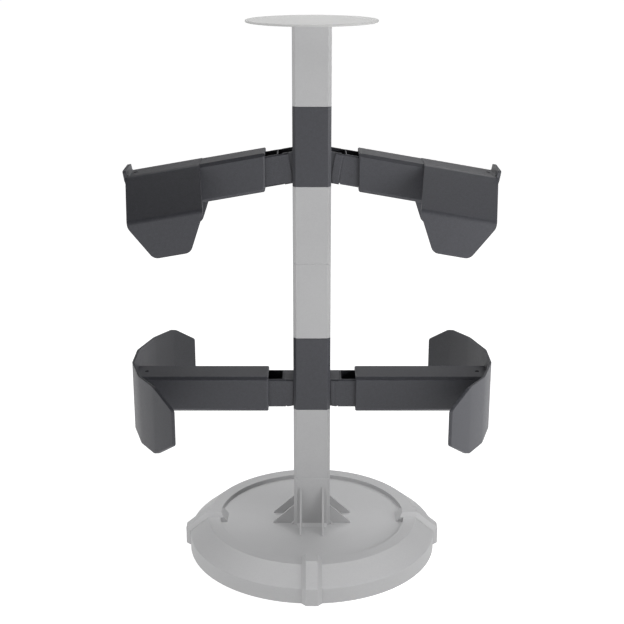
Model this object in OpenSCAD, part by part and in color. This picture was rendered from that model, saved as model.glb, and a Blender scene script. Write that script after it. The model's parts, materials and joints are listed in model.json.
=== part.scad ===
// Free-standing modular display and holder stand.
// A round weighted base carries a column of stacked square sections. Two of the
// sections each carry a pair of tilting, telescoping arms: the upper pair ends in
// roof-shaped saddles, the lower pair in curved cradles.
// Millimetres. Origin on the floor under the column, +Z up, the arms along X.

/* [Column] */
// Height of one stacked section
module_h = 100; // [90:1:120]
// Width of the square column and of the arm sleeves
tube_w = 48.5; // [47:0.5:52]
// Wall of the hollow column sections
column_wall = 4; // [3:0.5:5]
// 45 degree chamfer on the long edges of the square sections
edge_cut = 4; // [2:0.5:5]
// Depth and half height of the groove at each seam between sections
seam = 0.4; // [0.2:0.1:0.8]
// Radius of the top disc
disc_r = 81.6; // [60:1:100]
// Thickness of the top disc
disc_t = 2.6; // [2:0.2:5]

/* [Base] */
// Outer radius of the base
base_r = 167.6; // [160:1:190]
// Height of the upright outer wall
base_wall_h = 22; // [15:1:28]
// Height of the flat ring
ring_h = 42.5; // [40:0.5:46]
// Outer radius of the flat ring
ring_r = 142.4; // [138:1:148]
// Radius of the recessed floor inside the ring
floor_r = 126; // [115:1:128]
// Height of the recessed floor, where the column foot stands
floor_h = 36; // [34:0.5:38]
// Wall of the base shell
shell_t = 3.5; // [2.5:0.5:5]
// Height of the column foot above the recessed floor
foot_h = 70; // [60:1:80]
// How far the rim clips stand proud of the base
clip_proud = 6; // [4:0.5:8]

/* [Arms] */
// Width of the square inner arm
arm_w = 38.8; // [37:0.2:39]
// Clearance all round between the inner arm and its sleeve
slide_gap = 0.3; // [0.2:0.05:0.5]
// Distance of the tilt pivots from the column axis
pivot_x = 31.5; // [31:0.5:34]
// Height of the tilt pivots above the bottom of their section
pivot_h = 13.5; // [12:0.5:16]
// Height of the upper arms' centre line above their pivots
upper_rise = 9; // [8:0.1:10]
// Height of the lower arms' centre line above their pivots
lower_rise = 8.2; // [8:0.1:10]
// Downward tilt of the upper arms at rest
upper_tilt = 9.9; // [8:0.1:12]
// Largest downward tilt of an arm
tilt_max = 15; // [12:1:15]
// Farthest pull-out of a sleeve
extend_max = 70; // [40:1:75]
// Farthest push-in of a sleeve
retract_max = 14; // [5:1:14]

/* [Saddles and cradles] */
// Sheet thickness of a saddle
saddle_t = 2.5; // [2:0.25:3]
// Half width of a saddle
saddle_half_w = 82; // [70:1:90]
// Length of a saddle along its arm
saddle_len = 94; // [80:1:100]
// Sheet thickness of a cradle
cradle_t = 3; // [2:0.5:4]
// Height of a cradle
cradle_h = 91; // [70:0.5:95]

/* [Hidden] */
$fn = 64;
LEVELS = ["upper", "lower"];
SIDES = ["left", "right"];
STACK_NODES = [
    "base_shell", "base_cover", "ballast_plate", "rubber_feet", "cover_screws",
    "rim_clip_front", "rim_clip_back", "rim_clip_left", "rim_clip_right",
    "column_foot", "foot_screws", "column_section_1", "lower_arm_section",
    "column_section_2", "column_section_3", "upper_arm_section", "column_section_4",
    "coupler_1", "coupler_2", "coupler_3", "coupler_4", "coupler_5", "coupler_6",
    "disc_plug", "top_disc"];
ARM_PIECES = ["pivot_pin", "inner_arm", "sleeve", "stop_pin", "end_plug", "set_screw"];
function end_pieces(level) =
    level == "upper" ? ["saddle", "saddle_screws"] : ["cradle", "cradle_screws"];

// Stack: foot, section, lower arms, section, section, upper arms, section, disc
stack_z = floor_h + foot_h;
lower_z = stack_z + module_h;
upper_z = stack_z + 4 * module_h;
top_z = stack_z + 6 * module_h;
cavity_w = tube_w - 2 * column_wall;
cavity_cut = 1.6;
coupler_h = 50;
coupler_wall = 3;

// Base
foot_pad = 1.2;              // feet lift the base this far off the floor
cover_t = 3;
cover_top = foot_pad + cover_t;
feet_n = 6;
feet_ring_r = 150;
feet_r = 10;
feet_recess = 2;
boss_ring_r = 134;
boss_r = 5.5;
cover_screw_r = 1.5;
ballast_r = 126;
ballast_t = 8;
foot_screw_r = 3;
foot_screw_at = 13;
foot_block_h = 18;
clip_w = 26;
clip_top_w = 14.6;
gusset_t = 2.6;
gusset_at = 15;
gusset_reach = 53;
gusset_tall = 96.5;          // front and back gussets
gusset_short = 64;           // left and right gussets
foot_fillet = 4;

// Arm, in its own frame: x outward from the pivot, z up from the centre line
arm_cut = 2;                 // chamfer of the inner arm's long edges
arm_wall = 3;
cheek_t = 1.8;               // hinge cheeks outside the root
cheek_back = 6.5;            // how far the cheeks reach behind the pivot
cheek_toe = 4;               // the same along their underside, which swings at the column
floor_t = 2.4;               // bottom of the arm where it passes under the root
end_wall_at = 6;
end_wall_t = 1.4;
root_end = 5.6;              // hinge root, from the pivot outwards
root_r = 7;
root_drop = 9.7;             // underside of the root below the pivot, at the column
root_wall = 2.4;
root_block = 9;              // solid part of the upper root above the pivot
pin_r = 3;
pin_play = 0.05;
hinge_gap = 0.2;
root_w = arm_w - 2 * cheek_t - 2 * hinge_gap;
pin_front = arm_w / 2 - 1.1; // the pin stops inside the front cheek
mark_depth = 0.4;            // upright groove in one cheek
mark_w = 2;
mark_bottom = -15;
mark_top = 16.2;
notch_w = 1.3;               // cut under both cheeks where the arm's bottom wall starts
notch_h = 1.8;
bore_w = arm_w + 2 * slide_gap;
sleeve_mouth = 26;
stop_at = sleeve_mouth + 12; // stop pin of the sleeve, in a slot of the inner arm
stop_r = 2.5;
slot_play = 0.2;
slot_start = stop_at - retract_max;
slot_end = stop_at + extend_max;
arm_end = stop_at + extend_max + stop_r + 32;
mouth_cut = 1.5;
saddle_end = 198.5;          // outer face of the saddle's end plate
saddle_start = saddle_end - saddle_len;
saddle_sleeve_end = saddle_end - saddle_t;
cradle_face_x = 235;       // outer face of the cradle
cradle_sleeve_end = cradle_face_x - cradle_t - pivot_x;
plug_len = 28;
plug_wall = 4;
plug_end_t = 6;
saddle_set_back = 7.7;       // set screws, back from the end of their sleeve
cradle_set_back = 12;
set_r = 2.5;
set_play = 0.25;
set_sunk = 1.4;
bracket_screw_r = 2;
bracket_screw_at = 9;

// Saddle profile across the arm
saddle_top = 24.75;
ridge_half_w = 23.3;
ridge_r = 10;
ridge_flat = 20;
fold_z = -21.5;
fold_r = 8;
saddle_drop = -70.7;
lip_top = 32.6;
lip_half_w = 24.25;
lip_bend_r = 3;
lip_lean = 2;                // top of the lip beyond the end plate, and where it starts
lip_lean_from = 5;

// ---- helpers ----

function unit(v) = v / norm(v);
function rise(level) = level == "upper" ? upper_rise : lower_rise;
function set_at(level) =
    level == "upper" ? saddle_sleeve_end - saddle_set_back : cradle_sleeve_end - cradle_set_back;
// Start of the arm's bottom wall, in front of the root
function floor_start(level) = level == "upper" ? 5.5 : 3;
// Outer end of the root's underside, clear of that wall when the arm is fully down
function root_toe(level) = level == "upper" ? 2.3 : -0.4;
function xy(p) = [p[0], p[1]];

// Arc that rounds corner b between a and c; b[2] is the radius
function corner_arc(a, b, c, steps) =
    let (p = xy(b), u = unit(xy(a) - p), v = unit(xy(c) - p),
         half = acos(u * v) / 2, mid = p + unit(u + v) * b[2] / sin(half),
         t0 = p + u * b[2] / tan(half) - mid, t1 = p + v * b[2] / tan(half) - mid,
         a0 = atan2(t0[1], t0[0]), turn = atan2(t1[1], t1[0]) - a0,
         sweep = turn > 180 ? turn - 360 : turn < -180 ? turn + 360 : turn)
    [for (k = [0:steps]) mid + b[2] * [cos(a0 + sweep * k / steps), sin(a0 + sweep * k / steps)]];

// Outline with rounded corners; every point is [x, y, radius]
function rounded(pts, steps = 6) = let (n = len(pts))
    [for (i = [0:n - 1]) each (pts[i][2] > 0
        ? corner_arc(pts[(i + n - 1) % n], pts[i], pts[(i + 1) % n], steps) : [xy(pts[i])])];

// Meeting point of the lines a-b and b-c, both moved left by t
function moved_corner(a, b, c, t) =
    let (u = unit(b - a), v = unit(c - b), nu = [-u[1], u[0]], nv = [-v[1], v[0]],
         bisect = unit(nu + nv))
    b + bisect * t / (bisect * nu);

// Outline of a bent sheet of thickness t on the left of an open path of [x, y, bend radius]
function sheet(path, t) = let (n = len(path), p = [for (q = path) xy(q)],
    side0 = unit(p[1] - p[0]), side1 = unit(p[n - 1] - p[n - 2]))
    rounded(concat(path,
        [concat(p[n - 1] + t * [-side1[1], side1[0]], 0)],
        [for (i = [n - 2:-1:1])
            concat(moved_corner(p[i - 1], p[i], p[i + 1], t), path[i][2] - t)],
        [concat(p[0] + t * [-side0[1], side0[0]], 0)]));

// Square section with chamfered corners
module square_cut(w, cut) {
    h = w / 2;
    polygon([[h, -h + cut], [h, h - cut], [h - cut, h], [-h + cut, h],
             [-h, h - cut], [-h, -h + cut], [-h + cut, -h], [h - cut, -h]]);
}

// Upright square bar with a seam groove at both ends
module grooved_bar(h) {
    translate([0, 0, seam]) linear_extrude(h - 2 * seam) square_cut(tube_w, edge_cut);
    linear_extrude(h) square_cut(tube_w - 2 * seam, edge_cut);
}

module on_ring(n, r) {
    for (i = [0:n - 1]) rotate(i * 360 / n) translate([r, 0, 0]) children();
}

// Extrude an outline drawn in X and Z along Y, centred
module along_y(w) {
    translate([0, w / 2, 0]) rotate([90, 0, 0]) linear_extrude(w) children();
}

// ---- base ----

// Outer outline of the base from the axis outwards: r, z, corner radius
base_outline = [[0, floor_h, 0], [floor_r, floor_h, 0.8], [floor_r, ring_h, 0.8],
    [ring_r, ring_h, 2], [base_r, base_wall_h, 2], [base_r, foot_pad, 0]];

// Corners of the same outline, moved in by the shell's wall
base_inside = [for (i = [4:-1:1]) moved_corner(xy(base_outline[i + 1]),
    xy(base_outline[i]), xy(base_outline[i - 1]), shell_t)];

module base_envelope() {
    rotate_extrude($fn = 128) polygon(rounded(concat(base_outline, [[0, foot_pad, 0]])));
}

module base_shell() color("#b0b2b4") difference() {
    union() {
        rotate_extrude($fn = 128) polygon(concat(rounded(base_outline),
            [[base_r - shell_t, foot_pad]], base_inside, [[0, floor_h - shell_t]]));
        rotate(180 / feet_n) on_ring(feet_n, boss_ring_r)
            translate([0, 0, cover_top]) cylinder(r = boss_r, h = ring_h - shell_t / 2 - cover_top);
    }
    rotate(180 / feet_n) on_ring(feet_n, boss_ring_r)
        translate([0, 0, cover_top - 1]) cylinder(r = cover_screw_r, h = 13);
    foot_screw_places() translate([0, 0, floor_h - shell_t - 1])
        cylinder(r = foot_screw_r + 0.3, h = shell_t + 2);
}

module base_cover() color("#9c9ea0") difference() {
    translate([0, 0, foot_pad]) cylinder(r = base_r - shell_t - 0.2, h = cover_t, $fn = 128);
    on_ring(feet_n, feet_ring_r) cylinder(r = feet_r, h = foot_pad + feet_recess);
    rotate(180 / feet_n) on_ring(feet_n, boss_ring_r) {
        cylinder(r = cover_screw_r + 0.2, h = cover_top + 1);
        countersunk_head(cover_screw_r);
    }
}

// Head of a countersunk screw, flush with the underside of the cover
module countersunk_head(r) {
    translate([0, 0, foot_pad]) cylinder(r1 = 2 * r, r2 = r, h = r);
}

module cover_screws() color("silver") rotate(180 / feet_n) on_ring(feet_n, boss_ring_r) {
    difference() {
        union() {
            countersunk_head(cover_screw_r);
            translate([0, 0, foot_pad]) cylinder(r = cover_screw_r, h = 14);
        }
        translate([0, 0, foot_pad - 1]) cylinder(r = cover_screw_r / 2, h = 2.2, $fn = 6);
    }
}

module ballast_plate() color("dimgray") translate([0, 0, cover_top]) difference() {
    cylinder(r = ballast_r, h = ballast_t, $fn = 128);
    translate([0, 0, -1]) cylinder(r = 20, h = ballast_t + 2);
}

module rubber_feet() color("#222222") on_ring(feet_n, feet_ring_r)
    cylinder(r = feet_r, h = foot_pad + feet_recess);

// Outline of a rim clip where it lies on the base, and of its raised face: r, z
clip_lying = [[115, floor_h - 1], [121, ring_h], [ring_r, ring_h], [base_r, base_wall_h],
    [base_r, foot_pad], [150, foot_pad]];
clip_raised = [[116.5, floor_h - 1], [124.5, ring_h + clip_proud],
    [ring_r + 2.2, ring_h + clip_proud], [base_r + clip_proud, base_wall_h + 2.6],
    [base_r + clip_proud, foot_pad], [150, foot_pad]];

module rim_clip(angle) color("#b3b5b7") rotate(angle) difference() {
    hull() {
        along_y(clip_w) polygon(clip_lying);
        along_y(clip_top_w) polygon(clip_raised);
    }
    base_envelope();
}

module foot_screw_places() {
    for (x = [-1, 1], y = [-1, 1]) translate([x * foot_screw_at, y * foot_screw_at, 0]) children();
}

module foot_screws() color("silver") foot_screw_places() difference() {
    union() {
        translate([0, 0, floor_h - shell_t]) cylinder(r = foot_screw_r, h = shell_t + 12);
        translate([0, 0, floor_h - shell_t - 4]) cylinder(r = 5, h = 4);
    }
    translate([0, 0, floor_h - shell_t - 5]) cylinder(r = 2.5, h = 3.5, $fn = 6);
}

// ---- column ----

module gusset(at, height) {
    translate([0, at, 0]) along_y(gusset_t) polygon([[tube_w / 2 - 1, floor_h],
        [gusset_reach, floor_h], [gusset_reach, floor_h + 1.5], [tube_w / 2 - 1, height]]);
}

module column_foot() color("#a9abad") difference() {
    union() {
        translate([0, 0, floor_h]) linear_extrude(foot_h - seam) square_cut(tube_w, edge_cut);
        translate([0, 0, floor_h]) linear_extrude(foot_h) square_cut(tube_w - 2 * seam, edge_cut);
        for (turn = [0, 180], at = [-gusset_at, gusset_at]) {
            rotate(turn) gusset(at, gusset_short);
            rotate(turn + 90) gusset(at, gusset_tall);
        }
        for (turn = [0:90:270]) rotate(turn) along_y(tube_w - 2 * edge_cut)
            polygon([[tube_w / 2 - 1, floor_h], [tube_w / 2 + foot_fillet, floor_h],
                     [tube_w / 2, floor_h + foot_fillet], [tube_w / 2 - 1, floor_h + foot_fillet]]);
    }
    translate([0, 0, floor_h + foot_block_h]) linear_extrude(foot_h)
        square_cut(cavity_w, cavity_cut);
    foot_screw_places() translate([0, 0, floor_h - 1]) cylinder(r = foot_screw_r, h = 15);
}

module column_tube() {
    difference() {
        grooved_bar(module_h);
        translate([0, 0, -1]) linear_extrude(module_h + 2) square_cut(cavity_w, cavity_cut);
    }
}

module column_section(z) color("#a9abad") translate([0, 0, z]) column_tube();

module coupler(z) color("#77797b") translate([0, 0, z - coupler_h / 2]) difference() {
    linear_extrude(coupler_h) square_cut(cavity_w, cavity_cut);
    translate([0, 0, -1]) linear_extrude(coupler_h + 2) square_cut(cavity_w - 2 * coupler_wall, 1);
}

module disc_plug() color("#77797b") translate([0, 0, top_z - coupler_h / 2]) difference() {
    linear_extrude(coupler_h / 2) square_cut(cavity_w, cavity_cut);
    translate([0, 0, -coupler_wall]) linear_extrude(coupler_h / 2)
        square_cut(cavity_w - 2 * coupler_wall, 1);
}

module top_disc() color("#c5c5c6") translate([0, 0, top_z]) rotate_extrude($fn = 128)
    polygon(rounded([[0, 0, 0], [disc_r, 0, 0.6], [disc_r, disc_t, 0.6], [0, disc_t, 0]]));

// Side view of a hinge root round its pivot, x outwards. The upper root slopes with its arm
module root_side(level) {
    back = pivot_x - tube_w / 2 + 1;
    toe = root_toe(level);
    slope = level == "upper" ? tan(upper_tilt) : 0;
    top = (rise(level) + arm_w / 2) / (level == "upper" ? cos(upper_tilt) : 1);
    difference() {
        union() {
            circle(root_r);
            polygon([[-back, 0], [-back, -root_drop],
                     [toe, -root_drop - (back + toe) * tan(upper_tilt)], [toe, 0]]);
            polygon([[-back, -1], [-back, top + back * slope],
                     [root_end, top - root_end * slope], [root_end, -1]]);
        }
        // room for the arm's end wall at both ends of its swing
        for (swing = [0, tilt_max]) rotate(-swing) translate([root_end, -4 * root_r])
            square([2 * root_r, 8 * root_r]);
    }
}

module arm_section(level, z) color("#46484c") translate([0, 0, z]) difference() {
    union() {
        column_tube();
        for (turn = [0, 180]) rotate(turn) translate([pivot_x, 0, pivot_h])
            along_y(root_w) root_side(level);
    }
    for (turn = [0, 180]) rotate(turn) translate([pivot_x, 0, pivot_h]) {
        along_y(tube_w) circle(pin_r);
        // the upper root is an open channel
        if (level == "upper") translate([tube_w / 2 - pivot_x, -root_w / 2 + root_wall, root_block])
            cube([tube_w, root_w - 2 * root_wall, tube_w]);
    }
}

// ---- arms ----

// Places an arm's pieces: x outwards along the arm, z up from its centre line
module on_arm(level, side) {
    translate([0, 0, level == "upper" ? upper_z : lower_z])
        mirror([side == "left" ? 1 : 0, 0, 0]) translate([pivot_x, 0, pivot_h])
            rotate([0, level == "upper" ? upper_tilt : 0, 0]) translate([0, 0, rise(level)]) children();
}

// Extrude an outline drawn in Y and Z outwards along the arm
module outwards(from, to) {
    translate([from, 0, 0]) rotate([90, 0, 90]) linear_extrude(to - from) children();
}

module pivot_pin(level) color("silver")
    translate([0, -pin_front, -rise(level)]) rotate([-90, 0, 0])
        cylinder(r = pin_r, h = pin_front + arm_w / 2 - 0.4);

// Side view of the hinge cheeks: x along the arm, z
module cheek_side(level) {
    half = arm_w / 2;
    inner = end_wall_at + 1;
    upper = level == "upper";
    polygon([[inner, -half], [floor_start(level) - 1, -half],
             [-cheek_toe, -half + (upper ? 0 : (cheek_toe + 2) * tan(upper_tilt))],
             [-cheek_back, -rise(level)],
             [-cheek_back, half - (upper ? 0 : arm_cut)], [inner, half - (upper ? 0 : arm_cut)]]);
}

module inner_arm(level, side) color("#3e4044") difference() {
    start = floor_start(level);
    mark_at = level == "upper" ? 3.3 : -1.4;
    union() {
        outwards(start, arm_end) square_cut(arm_w, arm_cut);
        intersection() {
            outwards(-cheek_back, end_wall_at + 1) square_cut(arm_w, arm_cut);
            for (way = [-1, 1]) translate([0, way * (arm_w - cheek_t) / 2, 0])
                along_y(cheek_t) cheek_side(level);
        }
    }
    // room for the root, then the open channel
    translate([-cheek_back - 1, -arm_w / 2 + cheek_t, -arm_w / 2 + floor_t])
        cube([cheek_back + 1 + end_wall_at, arm_w - 2 * cheek_t, arm_w]);
    translate([end_wall_at + end_wall_t, -arm_w / 2 + arm_wall, -arm_w / 2 + arm_wall])
        cube([arm_end - arm_wall - end_wall_at - end_wall_t, arm_w - 2 * arm_wall, arm_w]);
    // blind in the front cheek, through the back one
    translate([0, -pin_front - 0.1, -rise(level)]) rotate([-90, 0, 0])
        cylinder(r = pin_r + pin_play, h = arm_w);
    // notch where the bottom wall starts, and a groove in one cheek
    translate([start - notch_w, -arm_w, -arm_w / 2 - 1]) cube([notch_w, 2 * arm_w, notch_h + 1]);
    translate([mark_at - mark_w / 2, (side == "right" ? -1 : 1) * arm_w / 2 - mark_depth, mark_bottom])
        cube([mark_w, 2 * mark_depth, mark_top - mark_bottom]);
    // slot for the stop pin
    translate([0, 0, -arm_w / 2 - 1]) {
        for (x = [slot_start, slot_end]) translate([x, 0, 0])
            cylinder(r = stop_r + slot_play, h = arm_wall + 2);
        translate([slot_start, -stop_r - slot_play, 0])
            cube([slot_end - slot_start, 2 * (stop_r + slot_play), arm_wall + 2]);
    }
}

// The sleeve's mouth is upright when its arm is at rest. Its outer end is cut to the
// saddle that lies on it, or to the cradle that closes it
module sleeve(level, end) color("#46484c") {
    h = tube_w / 2;
    mitre = level == "upper" ? upper_tilt : 0;
    mouth = [[mouth_cut, -h], [0, -h + mouth_cut], [0, h - mouth_cut], [mouth_cut, h]];
    difference() {
        intersection() {
            outwards(0, end) square_cut(tube_w, edge_cut);
            translate([sleeve_mouth, 0, 0]) rotate([0, -mitre, 0]) translate([0, 0, -2 * h])
                linear_extrude(4 * h) polygon(concat(mouth, [[end + h, h], [end + h, -h]]));
            along_y(2 * tube_w) polygon(concat(
                [for (p = mouth) [sleeve_mouth + p[0] - p[1] * tan(mitre), p[1]]],
                [[end, h], [end, -h]]));
        }
        outwards(-1, end + 1) square_cut(bore_w, arm_cut);
        if (level == "upper") {
            translate([saddle_start, -tube_w, saddle_top - saddle_t]) cube([end, 2 * tube_w, tube_w]);
            outwards(saddle_start, end + 1) polygon(sheet(saddle_path, saddle_t));
        } else {
            translate([0, 0, -tube_w]) linear_extrude(2 * tube_w) polygon(sheet(cradle_path, cradle_t));
        }
        translate([set_at(level), 0, 0]) cylinder(r = set_r + set_play, h = tube_w);
        translate([stop_at, 0, -tube_w]) cylinder(r = stop_r, h = tube_w);
    }
}

module stop_pin() color("silver")
    translate([stop_at, 0, -tube_w / 2 + 0.6]) cylinder(r = stop_r, h = (tube_w - arm_w) / 2 + arm_wall);

// Two screw axes through the end plate into the plug
module bracket_screw_places(face) {
    for (y = [-bracket_screw_at, bracket_screw_at]) translate([face, y, 0]) rotate([0, -90, 0]) children();
}

module end_plug(level, end) color("#2e3033") difference() {
    outwards(end - plug_len, end) square_cut(bore_w, arm_cut);
    outwards(end - plug_len - 1, end - plug_end_t) square_cut(bore_w - 2 * plug_wall, 1);
    translate([set_at(level), 0, 0]) cylinder(r = set_r, h = tube_w);
    bracket_screw_places(end + 1) cylinder(r = bracket_screw_r, h = plug_end_t + 2);
}

module set_screw(level, top) color("silver") translate([set_at(level), 0, 0]) difference() {
    translate([0, 0, bore_w / 2 - plug_wall - 1])
        cylinder(r = set_r, h = top - set_sunk - bore_w / 2 + plug_wall + 1);
    translate([0, 0, top - set_sunk - 2]) cylinder(r = 1.15, h = 3, $fn = 6);
}

module bracket_screws(face) color("silver") bracket_screw_places(face) difference() {
    union() {
        cylinder(r = bracket_screw_r, h = 11);
        cylinder(r1 = 2 * bracket_screw_r, r2 = bracket_screw_r, h = bracket_screw_r);
    }
    translate([0, 0, -1]) cylinder(r = 1.3, h = 2.3, $fn = 6);
}

// Holes in a saddle's or cradle's plate for the two screws
module bracket_holes(face) {
    bracket_screw_places(face) {
        translate([0, 0, -1]) cylinder(r = bracket_screw_r, h = 8);
        cylinder(r1 = 2 * bracket_screw_r, r2 = bracket_screw_r, h = bracket_screw_r);
    }
}

saddle_path = [[saddle_half_w, saddle_drop - 5, 0], [saddle_half_w, fold_z, fold_r],
    [ridge_half_w, saddle_top, ridge_r], [-ridge_half_w, saddle_top, ridge_r],
    [-saddle_half_w, fold_z, fold_r], [-saddle_half_w, saddle_drop - 5, 0]];

// Side view of a saddle: x along the arm, z, corner radius
saddle_side = [[saddle_start, saddle_top + 1, 0], [saddle_start, -25, 14],
    [saddle_start + 24.5, saddle_drop, 11], [saddle_end - 23.5, saddle_drop, 11],
    [saddle_end, -28, 14], [saddle_end, saddle_top + 1, 0]];

module saddle() color("#46484c") difference() {
    union() {
        intersection() {
            outwards(saddle_start, saddle_end) polygon(sheet(saddle_path, saddle_t));
            along_y(3 * saddle_half_w) polygon(rounded(saddle_side));
        }
        intersection() {
            outwards(saddle_sleeve_end, saddle_end + lip_lean) polygon(rounded(
                [[lip_half_w, -tube_w / 2, 2], [lip_half_w, lip_top, 3],
                 [-lip_half_w, lip_top, 3], [-lip_half_w, -tube_w / 2, 2]]));
            along_y(tube_w + 2) polygon([[0, -tube_w], [saddle_end, -tube_w], [saddle_end, lip_lean_from],
                [saddle_end + lip_lean, ridge_flat], [saddle_end + lip_lean, tube_w], [0, tube_w]]);
        }
        difference() {
            translate([saddle_sleeve_end - lip_bend_r, -ridge_flat, saddle_top - 1])
                cube([lip_bend_r, 2 * ridge_flat, lip_bend_r + 1]);
            translate([saddle_sleeve_end - lip_bend_r, 0, saddle_top + lip_bend_r])
                along_y(tube_w) circle(lip_bend_r);
        }
    }
    translate([set_at("upper"), 0, 0]) cylinder(r = set_r + set_play, h = tube_w);
    bracket_holes(saddle_end);
}

// Plan of a cradle's outer face, in the arm's frame: x, y, bend radius
cradle_half = [[-65, 139, 0], [-37, 112, 20], [-15.5, 77.5, 25], [0, 25, 25]];
cradle_path = [for (p = concat([for (q = cradle_half) [q[0], -q[1], q[2]]],
    [for (i = [3:-1:0]) cradle_half[i]])) [cradle_face_x - pivot_x + p[0], p[1], p[2]]];

// End view of a cradle: y, z, corner radius
cradle_view = [for (c = [[1, 1], [-1, 1], [-1, -1], [1, -1]])
    let (corners = [[136.5, 23, 6], [112, cradle_h / 2, 10]])
    for (q = c[0] * c[1] > 0 ? corners : [corners[1], corners[0]]) [c[0] * q[0], c[1] * q[1], q[2]]];

module cradle() color("#46484c") difference() {
    intersection() {
        translate([0, 0, -cradle_h / 2]) linear_extrude(cradle_h) polygon(sheet(cradle_path, cradle_t));
        outwards(0, 2 * cradle_face_x) polygon(rounded(cradle_view));
    }
    bracket_holes(cradle_face_x - pivot_x);
}

// ---- assembly ----

base_shell();
base_cover();
ballast_plate();
rubber_feet();
cover_screws();
rim_clip(-90);  // rim_clip_front
rim_clip(90);  // rim_clip_back
rim_clip(180);  // rim_clip_left
rim_clip(0);  // rim_clip_right
column_foot();
foot_screws();
column_section(stack_z);  // column_section_1
arm_section("lower", lower_z);  // lower_arm_section
column_section(stack_z + 2 * module_h);  // column_section_2
column_section(stack_z + 3 * module_h);  // column_section_3
arm_section("upper", upper_z);  // upper_arm_section
column_section(stack_z + 5 * module_h);  // column_section_4
for (k = [1:6]) coupler(stack_z + (k - 1) * module_h);
disc_plug();
top_disc();

for (level = LEVELS) for (side = SIDES) {
    arm = str(level, "_", side, "_");
    end = level == "upper" ? saddle_sleeve_end : cradle_sleeve_end;
    on_arm(level, side) pivot_pin(level);
    on_arm(level, side) inner_arm(level, side);
    on_arm(level, side) sleeve(level, end);
    on_arm(level, side) stop_pin();
    on_arm(level, side) end_plug(level, end);
    on_arm(level, side) set_screw(level, level == "upper" ? saddle_top : tube_w / 2);
    if (level == "upper") {
        on_arm(level, side) saddle();
        on_arm(level, side) bracket_screws(saddle_end);
    } else {
        on_arm(level, side) cradle();
        on_arm(level, side) bracket_screws(cradle_face_x - pivot_x);
    }
}
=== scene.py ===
"""Looks of the modular arm stand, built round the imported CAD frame.

The shell, foot, clips, sections, arms, sleeves, saddles and cradles are shown by copies of
their CAD shapes with rounded edges. The disc, screws, pins, couplers and other small or
hidden pieces keep their CAD mesh. Every piece gets the material that its slot names.
Metres, in the frame's own axes: +Z up, the arms along X, the front towards -Y.
"""
import json
import math

import bmesh
import bpy
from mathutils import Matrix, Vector

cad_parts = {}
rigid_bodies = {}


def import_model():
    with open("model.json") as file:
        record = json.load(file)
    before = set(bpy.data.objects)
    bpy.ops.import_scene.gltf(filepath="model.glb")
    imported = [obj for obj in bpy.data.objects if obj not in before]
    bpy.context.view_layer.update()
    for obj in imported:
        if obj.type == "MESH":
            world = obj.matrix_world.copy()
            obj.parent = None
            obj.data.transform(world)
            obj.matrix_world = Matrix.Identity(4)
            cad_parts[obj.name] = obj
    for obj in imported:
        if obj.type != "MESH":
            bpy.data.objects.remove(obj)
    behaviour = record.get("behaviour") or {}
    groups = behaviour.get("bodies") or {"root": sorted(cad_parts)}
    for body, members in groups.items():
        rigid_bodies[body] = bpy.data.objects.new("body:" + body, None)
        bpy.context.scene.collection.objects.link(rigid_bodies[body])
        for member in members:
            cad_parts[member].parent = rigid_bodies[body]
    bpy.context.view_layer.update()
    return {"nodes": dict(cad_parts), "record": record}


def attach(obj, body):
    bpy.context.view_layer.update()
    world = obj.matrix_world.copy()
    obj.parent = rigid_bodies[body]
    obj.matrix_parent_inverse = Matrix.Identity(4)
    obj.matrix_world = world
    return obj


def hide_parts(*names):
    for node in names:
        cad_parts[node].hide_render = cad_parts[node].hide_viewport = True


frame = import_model()

MM = 0.001
BODIES = frame["record"]["behaviour"]["bodies"]
BODY_OF = {node: body for body, nodes in BODIES.items() for node in nodes}
SLOT_OF = {part["node"]: part["material_slot"] for part in frame["record"]["subparts"]}
ARMS = [f"{level}_{side}_" for level in ("upper", "lower") for side in ("left", "right")]


# ---- materials ----

NOISE_RANGE = (0.3, 0.7)          # most of a noise texture's values lie in here
PLASTIC_IOR = 1.46
CLOUD = 60 * MM                   # slow drift of a moulding's colour
WEAR_AND_HIGHLIGHT_PATCH = 9 * MM               # stretches of an edge with more or less wear and painted highlight
POLISH = 0.12                     # how much smoother a worn edge is
GRAIN_DEPTH = 0.05 * MM
SCRATCH_DEPTH = 0.01 * MM
PORE_DEPTH = 0.06 * MM
FLOOR_GLOW = 1.0


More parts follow.
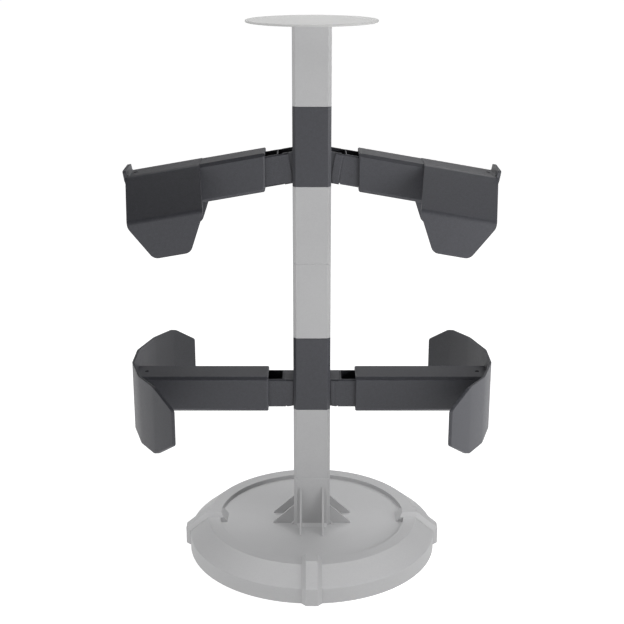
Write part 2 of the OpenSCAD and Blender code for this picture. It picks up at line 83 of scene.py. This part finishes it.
class Shader:
    """A material's node tree, with short calls to add and join nodes."""

    def __init__(self, name):
        self.material = bpy.data.materials.new(name)
        self.material.use_nodes = True
        self.tree = self.material.node_tree
        self.bsdf = self.tree.nodes["Principled BSDF"]
        self.place = self.add("ShaderNodeTexCoord").outputs["Object"]

    def set(self, socket, value):
        self.bsdf.inputs[socket].default_value = value

    def add(self, kind, **values):
        """A new node; each value is one of its sockets or, failing that, a property."""
        node = self.tree.nodes.new(kind)
        for key, value in values.items():
            if key in node.inputs:
                node.inputs[key].default_value = value
            else:
                setattr(node, key, value)
        return node

    def join(self, output, socket):
        self.tree.links.new(output, socket)

    def noise(self, size, detail=2.0, vector=None):
        """Noise whose grains measure about size."""
        node = self.add("ShaderNodeTexNoise", Scale=1 / size, Detail=detail)
        self.join(vector or self.place, node.inputs["Vector"])
        return node.outputs["Fac"]

    def between(self, noise, low, high):
        """The noise's usual range spread from low to high."""
        node = self.add("ShaderNodeMapRange")
        for socket, value in zip(node.inputs[1:5], (*NOISE_RANGE, low, high)):
            socket.default_value = value
        self.join(noise, node.inputs[0])
        return node.outputs[0]

    def maths(self, operation, first, second):
        node = self.add("ShaderNodeMath", operation=operation)
        for socket, value in zip(node.inputs, (first, second)):
            if isinstance(value, (int, float)):
                socket.default_value = value
            else:
                self.join(value, socket)
        return node.outputs[0]

    def tint(self, colour, amount):
        """The colour, made lighter or darker by amount."""
        node = self.add("ShaderNodeVectorMath", operation="SCALE")
        node.inputs[0].default_value = colour
        self.join(amount, node.inputs["Scale"])
        self.join(node.outputs[0], self.bsdf.inputs["Base Color"])

    def roughen(self, roughness):
        self.join(roughness, self.bsdf.inputs["Roughness"])

    def bump(self, height, depth):
        node = self.add("ShaderNodeBump", Strength=1.0, Distance=depth)
        self.join(height, node.inputs["Height"])
        self.join(node.outputs[0], self.bsdf.inputs["Normal"])


def plastic(name, colour, roughness, speckle, grain, wear_and_highlight):
    """Moulded plastic with a fine spark-eroded texture, and edges that handling has burnished, made
    lighter as wear and as a painted highlight.

    Grain is the size of its fine texture and speckle the share by which the colour varies from
    grain to grain;
    the last argument is the share by which it gets lighter along the edges, as wear and as a
    painted highlight.
    """
    s = Shader(name)
    s.set("IOR", PLASTIC_IOR)
    fine = s.noise(grain)
    mottle = s.noise(4 * grain, 3)
    on_edge = s.add("ShaderNodeAttribute", attribute_name="wear_and_highlight").outputs["Fac"]
    edge = s.maths("MULTIPLY", on_edge, s.between(s.noise(WEAR_AND_HIGHLIGHT_PATCH, 4), 0.4, 1.0))

    amount = s.maths("MULTIPLY", s.between(fine, 1 - speckle, 1 + speckle),
                     s.between(mottle, 1 - speckle / 2, 1 + speckle / 2))
    amount = s.maths("MULTIPLY", amount, s.between(s.noise(CLOUD, 2), 0.985, 1.015))
    # Lighter along the rounded edges: partly wear, partly a painted highlight.
    lighter = s.maths("ADD", 1.0, s.maths("MULTIPLY", edge, wear_and_highlight))
    s.tint(colour, s.maths("MULTIPLY", amount, lighter))

    rough = s.between(mottle, roughness - 0.04, roughness + 0.04)
    s.roughen(s.maths("SUBTRACT", rough, s.maths("MULTIPLY", edge, POLISH)))
    s.bump(s.maths("ADD", fine, s.maths("MULTIPLY", mottle, 0.6)), GRAIN_DEPTH)
    return s.material


def steel(name, colour, roughness, scratch):
    """Blackened or rolled steel with fine scratches one way."""
    s = Shader(name)
    s.set("Metallic", 1.0)
    stretch = s.add("ShaderNodeMapping", Scale=(1, 1, 12))
    s.join(s.place, stretch.inputs["Vector"])
    lines = s.noise(scratch, 4, stretch.outputs[0])
    s.tint(colour, s.between(s.noise(8 * MM, 3), 0.88, 1.08))
    s.roughen(s.between(lines, roughness - 0.08, roughness + 0.1))
    s.bump(lines, SCRATCH_DEPTH)
    return s.material


def rubber(name, colour):
    """Soft matte rubber with dust on it."""
    s = Shader(name)
    pores = s.noise(0.5 * MM, 3)
    s.tint(colour, s.between(s.noise(5 * MM, 4), 0.8, 1.5))
    s.roughen(s.between(pores, 0.75, 0.9))
    s.bump(pores, PORE_DEPTH)
    return s.material


def pale_floor():
    """Seamless pale studio floor, bright enough to read as white."""
    s = Shader("studio_floor")
    s.set("Roughness", 0.9)
    s.set("Specular IOR Level", 0.0)
    s.set("Emission Color", (1, 1, 1, 1))
    s.set("Emission Strength", FLOOR_GLOW)
    s.tint((0.3, 0.3, 0.3), s.between(s.noise(0.4, 2), 0.99, 1.01))
    return s.material


# Each plastic's last figure lightens its edges, as wear and as a painted highlight.
MATERIALS = {
    "grey_plastic": plastic("grey_plastic", (0.31, 0.31, 0.314), roughness=0.55,
                            speckle=0.03, grain=0.7 * MM, wear_and_highlight=0.08),
    "disc_plastic": plastic("disc_plastic", (0.37, 0.37, 0.367), roughness=0.6,
                            speckle=0.03, grain=0.6 * MM, wear_and_highlight=0.05),
    "anthracite_plastic": plastic("anthracite_plastic", (0.0465, 0.0475, 0.0555), roughness=0.48,
                                  speckle=0.16, grain=0.9 * MM, wear_and_highlight=0.9),
    "inner_plastic": plastic("inner_plastic", (0.04, 0.041, 0.045), roughness=0.5,
                             speckle=0.08, grain=0.8 * MM, wear_and_highlight=0.3),
    "screw_steel": steel("screw_steel", (0.1, 0.1, 0.104), roughness=0.45, scratch=0.4 * MM),
    "ballast_steel": steel("ballast_steel", (0.2, 0.2, 0.21), roughness=0.5, scratch=2 * MM),
    "rubber": rubber("rubber", (0.02, 0.02, 0.021)),
}


def paint(piece, slot):
    piece.data.materials.clear()
    piece.data.materials.append(MATERIALS[slot])


# ---- pieces with rounded edges ----

WELD = 1e-6                          # vertices closer than this are one
FLAT = math.radians(0.5)             # edges flatter than this are dropped before rounding
SHARP = math.radians(28)             # edges sharper than this are rounded
ROUND_STEPS = 2
BEND_PER_METRE = math.radians(337)   # a cradle's sheet turns 46 degrees over 136 mm
ALONG_SHEET = 0.92                   # cosine between a panel and the sheet that it is part of
SHEET_SHARE = 0.8                    # how much of the shading follows the curved sheet

ROUNDING_MM = {"base_shell": 0.5, "column_foot": 0.5}
for side in ("front", "back", "left", "right"):
    ROUNDING_MM[f"rim_clip_{side}"] = 0.9
for number in range(1, 5):
    ROUNDING_MM[f"column_section_{number}"] = 0.3
for level in ("upper", "lower"):
    ROUNDING_MM[f"{level}_arm_section"] = 0.3
for arm in ARMS:
    ROUNDING_MM[arm + "inner_arm"] = 0.3
    ROUNDING_MM[arm + "sleeve"] = 0.4
    ROUNDING_MM[arm + ("saddle" if "upper" in arm else "cradle")] = 0.8


def rounded_mesh(node, radius):
    """A CAD node's mesh with its sharp edges rounded, and the rounded faces marked to be lighter,
    as wear and as a painted highlight.
    """
    source = frame["nodes"][node].data
    mesh = bpy.data.meshes.new(node + "_rounded")
    mesh.from_pydata([v.co for v in source.vertices], [], [p.vertices for p in source.polygons])
    shape = bmesh.new()
    shape.from_mesh(mesh)
    bmesh.ops.remove_doubles(shape, verts=shape.verts, dist=WELD)
    bmesh.ops.dissolve_limit(shape, angle_limit=FLAT, verts=shape.verts, edges=shape.edges)
    # Marks the rounded faces whose colour is lightened, as wear and as a painted highlight.
    wear_and_highlight = shape.faces.layers.float.new("wear_and_highlight")
    edges = [edge for edge in shape.edges if edge.calc_face_angle(0) > SHARP]
    rounded = bmesh.ops.bevel(shape, geom=edges, offset=radius, offset_type="OFFSET",
                              segments=ROUND_STEPS, profile=0.5, affect="EDGES", clamp_overlap=True)
    for face in rounded["faces"]:
        face[wear_and_highlight] = 1.0
    for face in shape.faces:
        face.smooth = True
    for edge in shape.edges:
        edge.smooth = edge.calc_face_angle(0) < SHARP
    shape.to_mesh(mesh)
    shape.free()
    return mesh


def stand_in(node, mesh):
    """A piece that shows the mesh in place of a CAD node."""
    piece = bpy.data.objects.new(node + "_rounded", mesh)
    bpy.context.scene.collection.objects.link(piece)
    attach(piece, BODY_OF[node])
    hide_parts(node)
    paint(piece, SLOT_OF[node])
    return piece


def even_shading(piece):
    """Keeps the flats flat next to their rounded edges."""
    even = piece.modifiers.new("even_shading", "WEIGHTED_NORMAL")
    even.keep_sharp = True


def sheet_shading(piece):
    """Shades a cradle's flat panels as one curved sheet, with only a trace of its bends."""
    mesh = piece.data
    side = 1 if mesh.vertices[0].co.x > 0 else -1
    normals = [corner.vector.copy() for corner in mesh.corner_normals]
    for face in mesh.polygons:
        for corner in face.loop_indices:
            y = mesh.vertices[mesh.loops[corner].vertex_index].co.y
            turn = BEND_PER_METRE * y
            sheet = Vector((side * math.cos(turn), math.sin(turn), 0))
            facing = sheet.dot(face.normal)
            if abs(facing) > ALONG_SHEET:
                sheet *= math.copysign(SHEET_SHARE, facing)
                normals[corner] = (sheet + (1 - SHEET_SHARE) * face.normal).normalized()
    mesh.normals_split_custom_set(normals)


for node, radius in ROUNDING_MM.items():
    piece = stand_in(node, rounded_mesh(node, radius * MM))
    if node.endswith("cradle"):
        sheet_shading(piece)
    else:
        even_shading(piece)
for node, piece in frame["nodes"].items():
    paint(piece, SLOT_OF[node])


# ---- studio ----

FLOOR_SIZE = 80
WALL_WHITE, WALL_DARK = 1.02, 0.04
WHITE_BELOW, DARK_ABOVE = 0.06, 0.2          # sines of the angle above the horizon
CAMERA_PLACE = (0.0002, -1.5257, 0.8208)
CAMERA_TILT = math.radians(72.324)           # 90 degrees would look level
CAMERA_LENS_MM = 70.45
SENSOR_WIDTH_MM = 36
SUN_SPREAD = math.radians(45)


def floor():
    bpy.ops.mesh.primitive_plane_add(size=FLOOR_SIZE, location=(0, 0, 0))
    plane = bpy.context.object
    plane.name = "studio_floor"
    plane.data.materials.append(pale_floor())


def walls():
    """Studio walls: white at the horizon, and dark from a little above it."""
    world = bpy.data.worlds.new("studio_walls")
    bpy.context.scene.world = world
    world.use_nodes = True
    nodes, links = world.node_tree.nodes, world.node_tree.links
    place = nodes.new("ShaderNodeTexCoord")
    height = nodes.new("ShaderNodeSeparateXYZ")
    links.new(place.outputs["Generated"], height.inputs[0])
    ramp = nodes.new("ShaderNodeValToRGB")
    ramp.color_ramp.interpolation = "EASE"
    stops = ((WHITE_BELOW, WALL_WHITE), (DARK_ABOVE, WALL_DARK))
    for stop, (position, grey) in zip(ramp.color_ramp.elements, stops):
        stop.position = position
        stop.color = (grey, grey, grey, 1)
    links.new(height.outputs["Z"], ramp.inputs[0])
    links.new(ramp.outputs[0], nodes["Background"].inputs["Color"])


def camera():
    data = bpy.data.cameras.new("camera")
    data.sensor_width = SENSOR_WIDTH_MM
    data.lens = CAMERA_LENS_MM
    eye = bpy.data.objects.new("camera", data)
    eye.location = CAMERA_PLACE
    eye.rotation_euler = (CAMERA_TILT, 0, 0)
    bpy.context.scene.collection.objects.link(eye)
    bpy.context.scene.camera = eye


def softbox(name, place, target, size, power):
    """Square area light at place, turned towards target."""
    data = bpy.data.lights.new(name, "AREA")
    data.shape = "SQUARE"
    data.size = size
    data.energy = power
    light = bpy.data.objects.new(name, data)
    light.location = place
    light.rotation_euler = (Vector(target) - Vector(place)).to_track_quat("-Z", "Y").to_euler()
    bpy.context.scene.collection.objects.link(light)


def fill_suns(slots, suns):
    """Wide soft suns without shadows, which light only the pieces of the given slots.

    Each sun has its strength, its lean from overhead and its turn about the column, both in
    degrees.
    """
    wanted = [MATERIALS[slot] for slot in slots]
    lit = bpy.data.collections.new("fill_receivers")
    for piece in bpy.context.scene.objects:
        if piece.type == "MESH" and any(m in wanted for m in piece.data.materials):
            lit.objects.link(piece)
    for number, (strength, lean, turn) in enumerate(suns):
        data = bpy.data.lights.new(f"fill_sun_{number}", "SUN")
        data.energy = strength
        data.angle = SUN_SPREAD
        data.use_shadow = False
        light = bpy.data.objects.new(data.name, data)
        light.rotation_euler = (math.radians(lean), 0, math.radians(turn))
        bpy.context.scene.collection.objects.link(light)
        light.light_linking.receiver_collection = lit


floor()
walls()
camera()
softbox("key_right", place=(0.75, -0.45, 0.5), target=(0.1, 0, 0.35), size=0.6, power=6)
softbox("fill_left", place=(-1.4, -0.9, 0.8), target=(0, 0, 0.4), size=0.9, power=2)
softbox("top_back", place=(0.2, 0.9, 1.8), target=(0, 0, 0.1), size=1.6, power=20)
fill_suns(("grey_plastic", "disc_plastic"), [(2.15, 40, -60), (0.55, 55, 22), (0.5, -25, 0)])
bpy.context.scene.view_settings.view_transform = "Standard"
